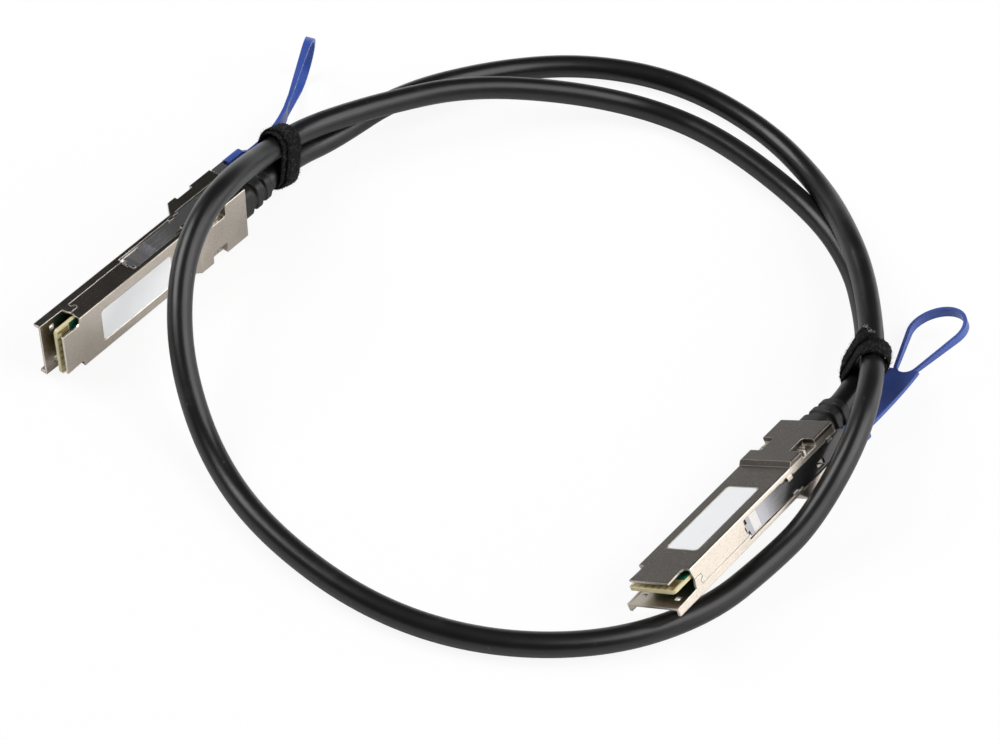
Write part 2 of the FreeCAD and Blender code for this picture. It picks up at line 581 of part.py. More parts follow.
def cable_path(points):
    """Straight runs joined by tangent arcs as large as the runs allow."""
    edges, at, radii = [], points[0], []
    for p, q, r in zip(points, points[1:], points[2:]):
        a, b = q - p, r - q
        reach = 0.45 * min(a.Length, b.Length)
        a.normalize()
        b.normalize()
        turn = a.getAngle(b)
        start, stop = q - a * reach, q + b * reach
        bend = reach / math.tan(turn / 2)
        middle = q + (b - a).normalize() * (bend * (1 / math.cos(turn / 2) - 1))
        edges.append(Part.LineSegment(at, start).toShape())
        edges.append(Part.Arc(start, middle, stop).toShape())
        at = stop
        radii.append(round(bend, 1))
    edges.append(Part.LineSegment(at, points[-1]).toShape())
    print("arc radii", radii, "smallest", min(radii))
    return Part.Wire(edges)


def tube(path, radius):
    """Circle carried along the path: cylinders on the runs, torus pieces on the arcs."""
    first = path.Edges[0]
    ring = Part.Edge(Part.Circle(first.valueAt(first.FirstParameter),
                                 first.tangentAt(first.FirstParameter), radius))
    faces = [Part.Face(Part.Wire(ring))]
    for edge in path.Edges:
        start, end = edge.valueAt(edge.FirstParameter), edge.valueAt(edge.LastParameter)
        if edge.Curve.TypeId == "Part::GeomLine":
            faces.append(ring.extrude(end - start))
            ring = ring.translated(end - start)
        else:
            centre, axis = edge.Curve.Center, edge.Curve.Axis
            turn = math.degrees((start - centre).getAngle(end - centre))
            faces.append(ring.revolve(centre, axis, turn))
            ring = ring.rotated(centre, axis, turn)
    faces.append(Part.Face(Part.Wire(ring)))
    shell = Part.makeShell(faces)
    shell.sewShape()
    solid = Part.Solid(shell)
    if solid.Volume < 0:
        solid.reverse()
    print("length", round(path.Length, 1), "volume", round(solid.Volume),
          "section x length", round(math.pi * radius ** 2 * path.Length))
    return solid


def strands(path_points, centre, along):
    """Where the cable crosses the plane through centre, lower strand first."""
    found = []
    for p, q in zip(path_points, path_points[1:]):
        a, b = (p - centre).dot(along), (q - centre).dot(along)
        if a * b <= 0 and a != b:
            hit = p + (q - p) * (a / (a - b))
            if (hit - centre).Length < 4 * CABLE_D:
                found.append(hit)
    return sorted(found, key=lambda hit: hit.z)


def oval(low, high, radius, along):
    """Two half circles and two straights round a pair of strands."""
    up = (high - low).normalize()
    side = up.cross(along).normalize() * radius
    up = up * radius
    corners = [high + side, high + up, high - side, low - side, low - up, low + side]
    edges = [
        Part.Arc(*corners[:3]).toShape(), Part.LineSegment(corners[2], corners[3]).toShape(),
        Part.Arc(*corners[3:]).toShape(), Part.LineSegment(corners[5], corners[0]).toShape(),
    ]
    return Part.Wire(edges)


def tie(path, centre, along):
    """Strap wound twice round the two strands, the outer wrap a little to one side."""
    along = V(along).normalize()
    fine = path.discretize(4000)
    inner = CABLE_D / 2 + TIE_GAP
    side = TIE_SHIFT / 2

    def round_both(radius, start, end):
        rings = []
        for part in (start, (start + end) / 2, end):
            low, high = strands(fine, centre + along * part, along)
            rings.append(oval(low, high, radius, along))
        return Part.makeLoft(rings, True, True)

    half = TIE_W / 2
    wraps = round_both(inner + TIE_T, -half - side, half - side).fuse(
        round_both(inner + 2 * TIE_T, -half + side, half + side))
    return wraps.cut(round_both(inner, -half - side - 0.5, half + side + 0.5))


# ---- all pieces --------------------------------------------------------------
def plug(tag, place):
    pieces = {
        "label_shell": label_shell(), "bottom_shell": bottom_shell(), "card": card(),
        "contact_pads": pads(), "card_chips": chips(), "wire_pairs": wire_pairs(),
        "wire_clamp": wire_clamp(), "cable_core": cable_core(), "ferrule": ferrule(),
        "strain_relief": boot(), "screws": screws(), "label": label(),
        "latch_slide": latch(), "pull_tab": pull_tab(TAB_LIE[tag]),
    }
    out = {}
    for name, shape in pieces.items():
        moved = shape.copy()
        moved.Placement = place.multiply(moved.Placement)
        out[name + "_" + tag] = moved
    return out


nodes = {}
nodes.update(plug("a", PLUG_A))
nodes.update(plug("b", PLUG_B))
route = cable_points()
path = cable_path(route)
nodes["cable_jacket"] = tube(path, CABLE_D / 2)
nodes["tie_a"] = tie(path, *TIE_A)
nodes["tie_b"] = tie(path, *TIE_B)

for name, shape in nodes.items():
    if not shape.isValid():
        print("not valid", name)
    shape.exportStep("parts/" + name + ".step")
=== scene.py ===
"""Looks of a direct attach copper cable: two metal plugs with blue pull tabs on one black cable.

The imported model's frame is in metres, Z up, floor at z = 0.  Sizes here are in millimetres and
are turned into metres where they go into Blender.
"""
import json
import math

import bpy
import numpy as np
from mathutils import Matrix


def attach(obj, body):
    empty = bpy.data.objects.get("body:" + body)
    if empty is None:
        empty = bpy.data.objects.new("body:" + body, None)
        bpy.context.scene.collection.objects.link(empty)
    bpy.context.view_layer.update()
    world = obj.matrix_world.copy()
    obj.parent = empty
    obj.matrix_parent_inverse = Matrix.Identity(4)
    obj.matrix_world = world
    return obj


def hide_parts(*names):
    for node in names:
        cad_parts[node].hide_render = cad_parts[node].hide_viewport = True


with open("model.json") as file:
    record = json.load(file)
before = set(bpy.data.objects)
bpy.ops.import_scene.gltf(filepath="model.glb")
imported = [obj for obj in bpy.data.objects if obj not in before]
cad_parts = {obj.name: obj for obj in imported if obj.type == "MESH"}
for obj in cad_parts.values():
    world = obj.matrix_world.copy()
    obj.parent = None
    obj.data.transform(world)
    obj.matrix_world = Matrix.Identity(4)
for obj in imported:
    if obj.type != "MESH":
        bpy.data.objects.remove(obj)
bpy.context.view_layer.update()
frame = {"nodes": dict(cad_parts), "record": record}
MM = 0.001                    # metres in a millimetre

# ---- camera and light --------------------------------------------------------
LENS = 93.1
CAMERA_AT = (-419.4, -244.3, 558.8)
CAMERA_RIGHT = (0.5987, -0.7934, 0.1097)
CAMERA_UP = (0.5702, 0.5184, 0.6373)
FLOOR_HALF = 6000.0
FLOOR_TONE = 0.86
FLOOR_GLOW = 0.90             # share of the floor that shines white to the camera: faint shadows

# ---- cable -------------------------------------------------------------------
CABLE_D = 7.0
ROUTE_STEPS = 12              # steps of the curve between two points of the route
JACKET_ROUND = 8              # fineness of the jacket's circle
ROUTE = [                     # from boot a to boot b
    (-10.4, 79.98, 10.12), (1.3, 79.98, 10.12),
    (12.7, 81.4, 7.5), (26.8, 79.4, 5.1), (54.5, 75.4, 7.1), (87, 61.7, 3.6),
    (109.4, 41.9, 3.6), (122.8, 15.5, 3.6), (123.6, -15.4, 3.6), (112.4, -42, 6.2),
    (91.6, -63, 16.1), (78.1, -76.8, 17), (58, -91.7, 17.9), (38, -101.5, 24.1),
    (18.5, -107.8, 21.4), (-1.8, -109.8, 12), (-16.4, -108, 8), (-39.6, -103.2, 3.6),
    (-66.2, -88.5, 3.6), (-87.2, -63.5, 3.6), (-97.4, -34.3, 3.6), (-96.7, -0.4, 3.6),
    (-88.4, 26.2, 4.5), (-77.5, 47, 16), (-62.2, 62.2, 25.3), (-45.5, 70.8, 31.2),
    (-26.4, 75.3, 30.9), (2.1, 82.8, 16.9), (19.1, 82.6, 13.7), (41.5, 73.6, 13.1),
    (66.3, 59.4, 13), (90, 36.7, 9), (107.2, 14, 3.6), (109.1, -11.8, 5.1),
    (104.2, -47, 3.6), (91.4, -67.5, 5), (77.1, -80, 6.3), (64.4, -88.1, 9.3), (53.7, -92.1, 12),
    (42.2, -94.8, 12.14), (30.51, -94.41, 12.34),
]

# ---- ties --------------------------------------------------------------------
TIE_W = 6.4
TIE_T = 0.72
TIE_SHIFT = 1.8               # the outer wrap lies this much beside the inner one
TIE_GAP = 0.12                # between the strap and the jackets
TIE_STEP = 0.22               # between two rings along the strap
TIE_AROUND = 60               # points round a ring
TIE_POWER = 0.62              # makes a ring's circle a flat rounded band
TIE_END = 0.6                 # an end is drawn in over this length
TAIL_L = 26.0                 # the last stretch, over which the strap slants aside
CUT_L = 7.0                   # the slanted cut grows over this last stretch
PILE = 0.20                   # how far the loops stand off the strap
PILE_WAVES = 12               # small waves that are added up for the uneven outline
FIBRE_COUNT = 5200            # drawn on the whole strap, before the hidden ones are left out
THREAD_COUNT = 34             # pale threads at a frayed end

# Each tie: its centre and the direction of the strands there; the share of a turn where the
# strap starts, its turns and their hand; the length of the free flap, how far the tail slants
# aside, and how far its end is cut on the slant.
TIES = {
    "tie_a": dict(centre=(3.3, 81.5, 13.3), along=(0.93, 0.0, -0.33), start=0.58, flap=0.0,
                  turns=2.0, slant=0.0, hand=1, cut=0.0),
    "tie_b": dict(centre=(51.9, -93.4, 15.9), along=(0.9, 0.4, -0.15), start=0.44, flap=2.6,
                  turns=1.8, slant=3.9, hand=-1, cut=3.0),
}

# ---- boots -------------------------------------------------------------------
PLUG_L = 76.2
CABLE_Z = 4.85                # cable axis over the plug's lower edges
BOOT_STEP = 0.12              # between two rings along the boot
BOOT_AROUND = 72              # points round a ring
BOOT_STATIONS = [             # behind the plug: along, half width, half height, roundness
    (0.0, 5.15, 4.25, 0.55), (4.0, 5.15, 4.25, 0.55), (4.3, 5.0, 4.1, 0.55), (4.5, 4.0, 3.85, 0.8),
    (5.9, 3.95, 3.8, 0.9), (6.1, 4.55, 4.0, 0.65), (6.4, 4.78, 4.17, 0.6), (8.2, 4.75, 4.17, 0.6),
    (8.5, 4.5, 4.0, 0.65), (8.7, 3.9, 3.75, 0.9), (9.9, 3.88, 3.75, 0.9), (10.1, 4.2, 3.9, 0.7),
    (10.4, 4.42, 4.07, 0.65), (12.2, 4.38, 4.05, 0.65), (12.6, 4.1, 3.9, 0.75), (12.9, 3.8, 3.8, 1.0),
    (13.7, 3.78, 3.78, 1.0),
]

# ---- plug places, from the record's mounts -----------------------------------
BODY_H = 8.5                  # lower edges to the label face


def plug_frame(tag):
    """Origin and axes of one plug: X to the rear, Y across, Z to the label face."""
    mounts = {m["name"]: m for m in frame["record"]["mounts"]}
    entry, guide = mounts["plug_%s_entry" % tag], mounts["plug_%s_guide" % tag]
    x = -np.array(entry["axis"], float)
    z = np.array(guide["axis"], float)
    z -= x * (x @ z)
    x, z = x / np.linalg.norm(x), z / np.linalg.norm(z)
    origin = np.array(entry["pos_m"], float) - z * BODY_H / 2 * MM
    return origin, np.c_[x, np.cross(z, x), z]


PLUGS = {tag: plug_frame(tag) for tag in "ab"}


# ---- node helpers ------------------------------------------------------------
MIX_A, MIX_B, MIX_RESULT = 6, 7, 2      # a Mix node's colour sockets


class Nodes:
    """A material's node tree with short ways to add, set and join nodes."""

    def __init__(self, name, tag=None):
        self.material = bpy.data.materials.new(name)
        self.material.use_nodes = True
        self.tree = self.material.node_tree
        self.shader = self.tree.nodes["Principled BSDF"]
        self.place = self.add("ShaderNodeTexCoord").outputs["Object"]
        if tag:
            self.own_plug(*PLUGS[tag])

    def own_plug(self, origin, axes):
        """Turn the place into the plug's own millimetres, whole and as x, y and z."""
        node = self.add("ShaderNodeMapping", vector_type="TEXTURE")
        self.feed(node.inputs["Vector"], self.place)
        node.inputs["Location"].default_value = origin
        node.inputs["Rotation"].default_value = Matrix(axes).to_euler()
        node.inputs["Scale"].default_value = (MM, MM, MM)
        self.plug = node.outputs["Vector"]
        split = self.add("ShaderNodeSeparateXYZ")
        self.feed(split.inputs[0], self.plug)
        self.x, self.y, self.z = split.outputs

    def add(self, kind, **settings):
        """New node with its settings."""
        node = self.tree.nodes.new(kind)
        for key, value in settings.items():
            setattr(node, key, value)
        return node

    def feed(self, socket, value):
        """Join an output to a socket, or set the socket to a number or colour."""
        if hasattr(value, "links"):
            self.tree.links.new(value, socket)
        else:
            socket.default_value = value

    def finish(self, **values):
        """Feed the shader's own sockets, whose names get underscores for spaces."""
        for key, value in values.items():
            self.feed(self.shader.inputs[key.replace("_", " ")], value)
        return self.material

    def grain(self, scale, detail=2.0, rough=0.5, place=None):
        """Cloudy noise; the scale counts per metre, or per millimetre on a plug's own place."""
        node = self.add("ShaderNodeTexNoise")
        self.feed(node.inputs["Vector"], place or self.place)
        node.inputs["Scale"].default_value = scale
        node.inputs["Detail"].default_value = detail
        node.inputs["Roughness"].default_value = rough
        return node.outputs["Fac"]

    def ramp(self, source, *stops):
        """Eased step from one grey to another: two stops of (position, grey)."""
        node = self.add("ShaderNodeValToRGB")
        node.color_ramp.interpolation = "EASE"
        for point, (at, tone) in zip(node.color_ramp.elements, stops):
            point.position = at
            point.color = (tone, tone, tone, 1)
        self.feed(node.inputs["Fac"], source)
        return node.outputs["Color"]

    def mix(self, factor, a, b):
        """Colour that goes from a to b as the factor goes from 0 to 1."""
        node = self.add("ShaderNodeMix", data_type="RGBA")
        self.feed(node.inputs["Factor"], factor)
        for socket, value in ((MIX_A, a), (MIX_B, b)):
            self.feed(node.inputs[socket], (*value, 1) if isinstance(value, tuple) else value)
        return node.outputs[MIX_RESULT]

    def math(self, operation, a, b=0.0, c=0.0):
        """One step of arithmetic on numbers or outputs."""
        node = self.add("ShaderNodeMath", operation=operation)
        for socket, value in zip(node.inputs, (a, b, c)):
            self.feed(socket, value)
        return node.outputs[0]

    def step(self, value, zero, one):
        """Smooth step of a length: 0 at one place, 1 at the other."""
        node = self.add("ShaderNodeMapRange", interpolation_type="SMOOTHSTEP")
        self.feed(node.inputs["Value"], value)
        node.inputs["From Min"].default_value = zero
        node.inputs["From Max"].default_value = one
        return node.outputs[0]

    def between(self, value, low, high, soft):
        """1 between two limits of a length, 0 outside: a step up times a step down."""
        up = self.step(value, low - soft, low + soft)
        down = self.step(value, high + soft, high - soft)
        return self.math("MULTIPLY", up, down)

    def outside(self, value, low, high, soft):
        """0 between two limits of a length, 1 outside."""
        return self.math("SUBTRACT", 1.0, self.between(value, low, high, soft))

    def bump(self, height, strength, depth, under=None):
        """Normal of a relief as deep as the depth where the height is 1."""
        node = self.add("ShaderNodeBump")
        self.feed(node.inputs["Height"], height)
        node.inputs["Strength"].default_value = strength
        node.inputs["Distance"].default_value = depth * MM
        if under is not None:
            self.feed(node.inputs["Normal"], under)
        return node.outputs["Normal"]

    def soft_edges(self, radius):
        """Normal rounded over the piece's sharp edges."""
        node = self.add("ShaderNodeBevel", samples=4)
        node.inputs["Radius"].default_value = radius * MM
        return node.outputs["Normal"]

    def edge(self, rounded):
        """0.72 along sharp edges, where the rounded normal leaves the face's own, else 0."""
        node = self.add("ShaderNodeVectorMath", operation="DOT_PRODUCT")
        self.feed(node.inputs[0], rounded)
        self.feed(node.inputs[1], self.add("ShaderNodeNewGeometry").outputs["Normal"])
        apart = self.math("SUBTRACT", 1.0, node.outputs["Value"])
        return self.ramp(apart, (0.015, 0.0), (0.12, 0.72))

    def stretched(self, scale, turn=(0, 0, 0)):
        """The plug's own place scaled per axis, then turned."""
        node = self.add("ShaderNodeMapping")
        self.feed(node.inputs["Vector"], self.plug)
        node.inputs["Rotation"].default_value = turn
        node.inputs["Scale"].default_value = scale
        return node.outputs["Vector"]


# ---- finishes ----------------------------------------------------------------
NICKEL = (0.56, 0.505, 0.44)
FACE_REFLECTION_TONE = {"a": 1.0, "b": 0.16}       # the label faces: plug B's is painted dark, a painted dark reflection
SIDE_REFLECTION_TONE = {"a": 0.20, "b": 1.0}       # the sides: plug A's are painted dark, a painted dark reflection
ARM_TONES_AND_REFLECTION = {"a": (0.30, 0.36), "b": (0.02, 0.30)}     # rear and front of the latch arms; plug B's nearly black rear is a painted dark reflection

# Limits on a plug, in its own millimetres
FACE_Z = (BODY_H - 0.1, BODY_H + 20)    # the label face and all above it
INNER_Y = (-9.05, 9.05)                 # what lies between the two outer sides
ARM_REAR_X = (44.0, 90.0)               # the rear stretch of a latch arm
ARM_RUB_X = (42.0, 50.0)                # the stretch of an arm that is rubbed pale
TONGUE_HIGHLIGHT_X = (35.5, 38.6)                 # the slope of an arm's tongue, painted pale: a painted highlight
MASK_X = (6.8, 60.0)                    # solder mask behind the pads
MASK_Y = (-8.0, 8.0)
CARD_Z = (5.42, 6.28)                   # the card's cut edges, between its two faces


def plated_sheet(tag):
    """Satin nickel plating: sandy grain, faint cloudiness, dark flecks, painted glints, painted
    highlights along the edges and painted dark reflections on some faces.
    """
    n = Nodes("plated_sheet_" + tag, tag)
    cloud = n.grain(0.06, 3, place=n.plug)
    sand = n.grain(1.9, 2, 0.6, place=n.plug)
    fleck = n.ramp(n.grain(2.6, 1, place=n.plug), (0.56, 0.0), (0.70, 1.0))
    glint = n.ramp(n.grain(3.0, 1, place=n.stretched((1, 1, 1), turn=(1, 2, 3))),
                   (0.60, 0.0), (0.72, 1.0))
    colour = n.mix(n.ramp(cloud, (0.3, 0.0), (0.7, 1.0)),
                   tuple(0.93 * t for t in NICKEL), tuple(1.06 * t for t in NICKEL))
    # painted dark reflection: a near black tone over plug B's label face and plug A's sides
    painted_dark_reflection = n.math("ADD",
                  n.math("MULTIPLY", n.between(n.z, *FACE_Z, 0.08), 1 - FACE_REFLECTION_TONE[tag]),
                  n.math("MULTIPLY", n.outside(n.y, *INNER_Y, 0.05), 1 - SIDE_REFLECTION_TONE[tag]))
    rounded = n.soft_edges(0.26)
    for amount, tone in ((painted_dark_reflection, (0.02, 0.018, 0.016)),
                         (n.math("MULTIPLY", fleck, 0.40), (0.14, 0.12, 0.10)),
                         # painted glints: bright specks in the colour
                         (n.math("MULTIPLY", glint, 0.16), (0.95, 0.88, 0.80)),
                         # painted highlight: a pale colour along the sharp edges
                         (n.edge(rounded), (0.92, 0.87, 0.80))):
        colour = n.mix(amount, colour, tone)
    return n.finish(Base_Color=colour, Metallic=1.0,
                    Roughness=n.math("MULTIPLY_ADD", cloud, 0.10, 0.25),
                    Normal=n.bump(sand, 0.45, 0.06, rounded))


def spring_steel(tag):
    """Stamped strip: drawn lines along it, a bluish tone, a painted dark reflection over the rear, a
    painted highlight on the tongue's slope and rub marks by the tongue.
    """
    n = Nodes("spring_steel_" + tag, tag)
    lines = n.grain(1.0, 3, place=n.stretched((0.10, 5.0, 5.0)))
    rub = n.math("MULTIPLY", n.between(n.x, *ARM_RUB_X, 3.5), n.ramp(lines, (0.3, 0.2), (0.7, 1.0)))
    rear, front = ARM_TONES_AND_REFLECTION[tag]
    # painted dark reflection: the rear stretch's tone, nearly black on plug B
    colour = n.mix(n.outside(n.x, *ARM_REAR_X, 5.0), (rear,) * 3, (front, front, 1.08 * front))
    for amount, tone in ((n.math("MULTIPLY", lines, 0.18), (0.45, 0.45, 0.46)),
                         (n.math("MULTIPLY", rub, 0.12), (0.66, 0.65, 0.63)),
                         # painted highlight: a pale band over the tongue's slope
                         (n.between(n.x, *TONGUE_HIGHLIGHT_X, 0.1), (0.50, 0.49, 0.48))):
        colour = n.mix(amount, colour, tone)
    roughness = n.math("ADD", n.math("MULTIPLY_ADD", lines, 0.10, 0.13), n.math("MULTIPLY", rub, 0.16))
    return n.finish(Base_Color=colour, Metallic=0.8, Roughness=roughness,
                    Normal=n.bump(lines, 0.18, 0.03, n.soft_edges(0.08)))


def circuit_board(tag):
    """Bare glass laminate at the cut edges and round the pads, green solder mask behind them."""
    n = Nodes("circuit_board_" + tag, tag)
    weave = n.grain(1.4, 2, place=n.plug)
    bare = n.mix(weave, (0.56, 0.50, 0.27), (0.68, 0.61, 0.36))
    mask = n.mix(weave, (0.004, 0.075, 0.040), (0.012, 0.13, 0.065))
    trace = n.ramp(n.grain(0.9, 0, place=n.stretched((0.25, 2.2, 1.0))), (0.52, 0.0), (0.56, 1.0))
    mask = n.mix(n.math("MULTIPLY", trace, 0.6), mask, (0.010, 0.20, 0.105))
    masked = n.math("MULTIPLY", n.between(n.x, *MASK_X, 0.08), n.between(n.y, *MASK_Y, 0.05))
    masked = n.math("MULTIPLY", masked, n.outside(n.z, *CARD_Z, 0.03))
    return n.finish(Base_Color=n.mix(masked, bare, mask), Roughness=0.38, Coat_Weight=0.25,
                    Normal=n.bump(weave, 0.2, 0.03))


def simple(name, low, high, rough, scale, bump=0.2, metal=0.0, edge=0.0, **more):
    """Two close tones in a fine grain with a little relief."""
    n = Nodes(name)
    grain = n.grain(scale, 3)
    roughness = n.math("MULTIPLY_ADD", grain, 0.12, rough - 0.06)
    under = n.soft_edges(edge) if edge else None
    return n.finish(Base_Color=n.mix(grain, low, high), Roughness=roughness, Metallic=metal,
                    Normal=n.bump(grain, bump, 0.04, under), **more)


def cable_jacket():
    """Black jacket: slight waviness, small pale nicks and long faint rubs."""
    n = Nodes("cable_jacket")
    wave = n.grain(110, 2)
    nick = n.ramp(n.grain(330, 3, 0.65), (0.69, 0.0), (0.76, 1.0))
    rub = n.ramp(n.grain(46, 4, 0.7), (0.55, 0.0), (0.80, 1.0))
    colour = n.mix(n.math("MULTIPLY", nick, 0.16), (0.006, 0.006, 0.0065), (0.26, 0.25, 0.24))
    colour = n.mix(n.math("MULTIPLY", rub, 0.10), colour, (0.10, 0.098, 0.095))
    roughness = n.math("ADD", n.math("MULTIPLY_ADD", wave, 0.12, 0.26), n.math("MULTIPLY", rub, 0.10))
    fine = n.bump(n.grain(2600, 2), 0.10, 0.03)
    return n.finish(Base_Color=colour, Roughness=roughness, Specular_IOR_Level=0.44,
                    Normal=n.bump(wave, 0.16, 0.5, fine))


def label_film(tag):
    """Bare white film with a soft satin face."""
    n = Nodes("label_film_" + tag, tag)
    haze = n.grain(0.10, 2, place=n.plug)
    grain = n.grain(5.0, 2, place=n.plug)
    return n.finish(Base_Color=n.mix(haze, (0.80, 0.81, 0.82), (0.86, 0.87, 0.88)),
                    Roughness=n.math("MULTIPLY_ADD", haze, 0.10, 0.36),
                    Normal=n.bump(grain, 0.08, 0.02))


def tab_plastic():
    """Royal blue moulded plastic, a little milky, with faint flow lines."""
    n = Nodes("tab_plastic")
    flow = n.grain(90, 3)
    grain = n.grain(1900, 2)
    colour = n.mix(n.ramp(flow, (0.3, 0.0), (0.7, 1.0)), (0.026, 0.062, 0.30), (0.034, 0.082, 0.35))
    return n.finish(Base_Color=colour, Roughness=n.math("MULTIPLY_ADD", flow, 0.12, 0.34),
                    Specular_IOR_Level=0.6, Normal=n.bump(grain, 0.14, 0.03, n.soft_edges(0.2)))


def loop_pile():
    """Woven loop pile: near black, with painted highlights on the raised loops."""
    n = Nodes("loop_pile")
    loops = n.grain(1250, 3, 0.6)
    tuft = n.grain(380, 2)
    # painted highlight: the raised loops are painted paler
    raised = n.ramp(loops, (0.48, 0.0), (0.72, 1.0))
    colour = n.mix(raised, (0.002, 0.002, 0.0022), (0.034, 0.034, 0.037))
    colour = n.mix(n.math("MULTIPLY", tuft, 0.3), colour, (0.010, 0.010, 0.011))
    return n.finish(Base_Color=colour, Roughness=0.85, Specular_IOR_Level=0.15, Sheen_Weight=0.03,
                    Sheen_Roughness=0.5, Normal=n.bump(loops, 1.0, 0.5))


FINISHES = {
    "contact_pads": simple("gold_plating", (0.46, 0.30, 0.10), (0.60, 0.41, 0.15), 0.34, 3000, metal=1.0),
    "card_chips": simple("chip_moulding", (0.02, 0.02, 0.02), (0.05, 0.05, 0.05), 0.5, 2500),
    "wire_pairs": simple("pair_foil", (0.60, 0.60, 0.62), (0.75, 0.75, 0.77), 0.3, 900, metal=1.0),
    "wire_clamp": simple("clamp_moulding", (0.03, 0.03, 0.03), (0.05, 0.05, 0.05), 0.6, 1500),
    "cable_core": simple("braid", (0.40, 0.40, 0.40), (0.60, 0.60, 0.60), 0.4, 1600, metal=1.0),
    "ferrule": simple("ferrule_steel", (0.45, 0.44, 0.42), (0.55, 0.54, 0.52), 0.35, 1600, metal=1.0),
    "strain_relief": simple("boot_plastic", (0.006, 0.006, 0.006), (0.012, 0.012, 0.0115), 0.48, 2600,
                            bump=0.4, Specular_IOR_Level=0.40),
    "screws": simple("screw_steel", (0.45, 0.42, 0.38), (0.58, 0.55, 0.50), 0.26, 2500, metal=1.0,
                     edge=0.08),
    "pull_tab": tab_plastic(),
    "cable_jacket": cable_jacket(),
    "tie": loop_pile(),
    "thread": simple("frayed_thread", (0.30, 0.29, 0.28), (0.55, 0.54, 0.52), 0.8, 900),
}
for tag in PLUGS:
    FINISHES["label_shell_" + tag] = FINISHES["bottom_shell_" + tag] = plated_sheet(tag)
    FINISHES["latch_slide_" + tag] = spring_steel(tag)
    FINISHES["card_" + tag] = circuit_board(tag)
    FINISHES["label_" + tag] = label_film(tag)

# A node takes the finish of its own name, or of its name without the last _a or _b
for node, shape in frame["nodes"].items():
    shape.data.materials.clear()
    shape.data.materials.append(FINISHES[node if node in FINISHES else node[:-2]])


# ---- pieces from curves and grids --------------------------------------------
def placed(name, data, finish, body=None):
    """Object of a curve or mesh at the origin, with its finish and, if it has one, body."""
    piece = bpy.data.objects.new(name, data)
    bpy.context.scene.collection.objects.link(piece)
    data.materials.append(finish)
    if body:
        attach(piece, body)
    return piece


def power_of(wave, power):
    """A sine or cosine raised to a power with its sign kept: a circle becomes a rounded box."""
    return np.sign(wave) * np.abs(wave) ** power


def route_curve(name, bevel):
    """Smooth curve of second degree along the route, from boot to boot, as thick as the bevel."""
    curve = bpy.data.curves.new(name, "CURVE")
    curve.dimensions = "3D"
    curve.resolution_u = ROUTE_STEPS
    curve.bevel_depth = bevel
    curve.bevel_resolution = JACKET_ROUND
    spline = curve.splines.new("NURBS")
    spline.points.add(len(ROUTE) - 1)
    spline.points.foreach_set("co", np.c_[np.array(ROUTE) * MM, np.ones(len(ROUTE))].ravel())
    spline.order_u = 3
    spline.use_endpoint_u = True
    return curve


def centre_line():
    """Points of the route's smooth curve, in millimetres."""
    bare = bpy.data.objects.new("line", route_curve("line", 0.0))
    bpy.context.scene.collection.objects.link(bare)
    mesh = bpy.data.meshes.new_from_object(bare)
    line = np.empty(len(mesh.vertices) * 3)
    mesh.vertices.foreach_get("co", line)
    bpy.data.meshes.remove(mesh)
    bpy.data.objects.remove(bare)
    return line.reshape(-1, 3) / MM


def tube_mesh(name, rings):
    """Closed skin over rings (count, around, 3) in millimetres, each end drawn to one point."""
    count, around = rings.shape[:2]
    points = np.vstack([rings.reshape(-1, 3), rings[0].mean(0), rings[-1].mean(0)]) * MM
    i, j = np.meshgrid(np.arange(count - 1), np.arange(around), indexing="ij")
    k = (j + 1) % around
    ring, after = i * around, (i + 1) * around
    walls = np.stack([ring + j, ring + k, after + k, after + j], axis=-1)
    j, k = j[0], k[0]
    first, last = np.full(around, count * around), np.full(around, count * around + 1)
    rim = (count - 1) * around
    caps = np.vstack([np.c_[first, k, j], np.c_[last, rim + j, rim + k]])
    data = bpy.data.meshes.new(name)
    data.from_pydata(points.tolist(), [], walls.reshape(-1, 4).tolist() + caps.tolist())
    data.polygons.foreach_set("use_smooth", np.ones(len(data.polygons), bool))
    return data


def hair_mesh(name, roots, tips, bend, thick):
    """Fine three-sided fibres, closed at the root and drawn to a point at the tip.

    Each fibre has three rings of three points round its straight line, at the levels' shares of
    its length, moved aside by their shares of its bend and as thick as their shares of its own
    thickness.
    """
    along = tips - roots
    side = np.cross(along, np.roll(along, 1, axis=1) + 0.01)
    side /= np.linalg.norm(side, axis=1, keepdims=True)
    other = np.cross(along, side)
    other /= np.linalg.norm(other, axis=1, keepdims=True)
    turn = np.arange(3) * 2 * math.pi / 3
    rim = side[:, None] * np.cos(turn)[:, None] + other[:, None] * np.sin(turn)[:, None]
    levels = [(0.0, 0.0, 1.0), (0.35, 0.9, 0.9), (0.7, 0.9, 0.7)]     # length, bend, thickness
    rings = [(roots + along * share)[:, None] + (bend * bow)[:, None]
             + rim * (thick * width)[:, None, None] for share, bow, width in levels]
    points = np.concatenate(rings + [tips[:, None], roots[:, None]], axis=1)
    each = points.shape[1]
    walls = [(r * 3 + j, r * 3 + (j + 1) % 3, r * 3 + 3 + (j + 1) % 3, r * 3 + 3 + j)
             for r in range(2) for j in range(3)]
    ends = [(6 + j, 6 + (j + 1) % 3, 9) for j in range(3)] + [((j + 1) % 3, j, 10) for j in range(3)]
    start = (np.arange(len(roots)) * each)[:, None, None]
    data = bpy.data.meshes.new(name)
    data.from_pydata((points.reshape(-1, 3) * MM).tolist(), [],
                     (np.array(walls) + start).reshape(-1, 4).tolist()
                     + (np.array(ends) + start).reshape(-1, 3).tolist())
    return data


# ---- ties --------------------------------------------------------------------
def strands_at(line, centre, axis):
    """Centres of the two strands in a tie's plane, the lower one first.

    The line crosses the plane where its distance along the axis changes sign.  Each crossing lies
    at a straight share between two points, and the two crossings nearest the centre are kept.
    """
    near = (line - np.array(centre)) @ axis
    hits = np.flatnonzero(near[:-1] * near[1:] <= 0)
    share = (near[hits] / (near[hits] - near[hits + 1]))[:, None]
    cross = line[hits] * (1 - share) + line[hits + 1] * share
    cross = cross[np.argsort(np.linalg.norm(cross - centre, axis=1))[:2]]
    return cross[np.argsort(cross[:, 2])]


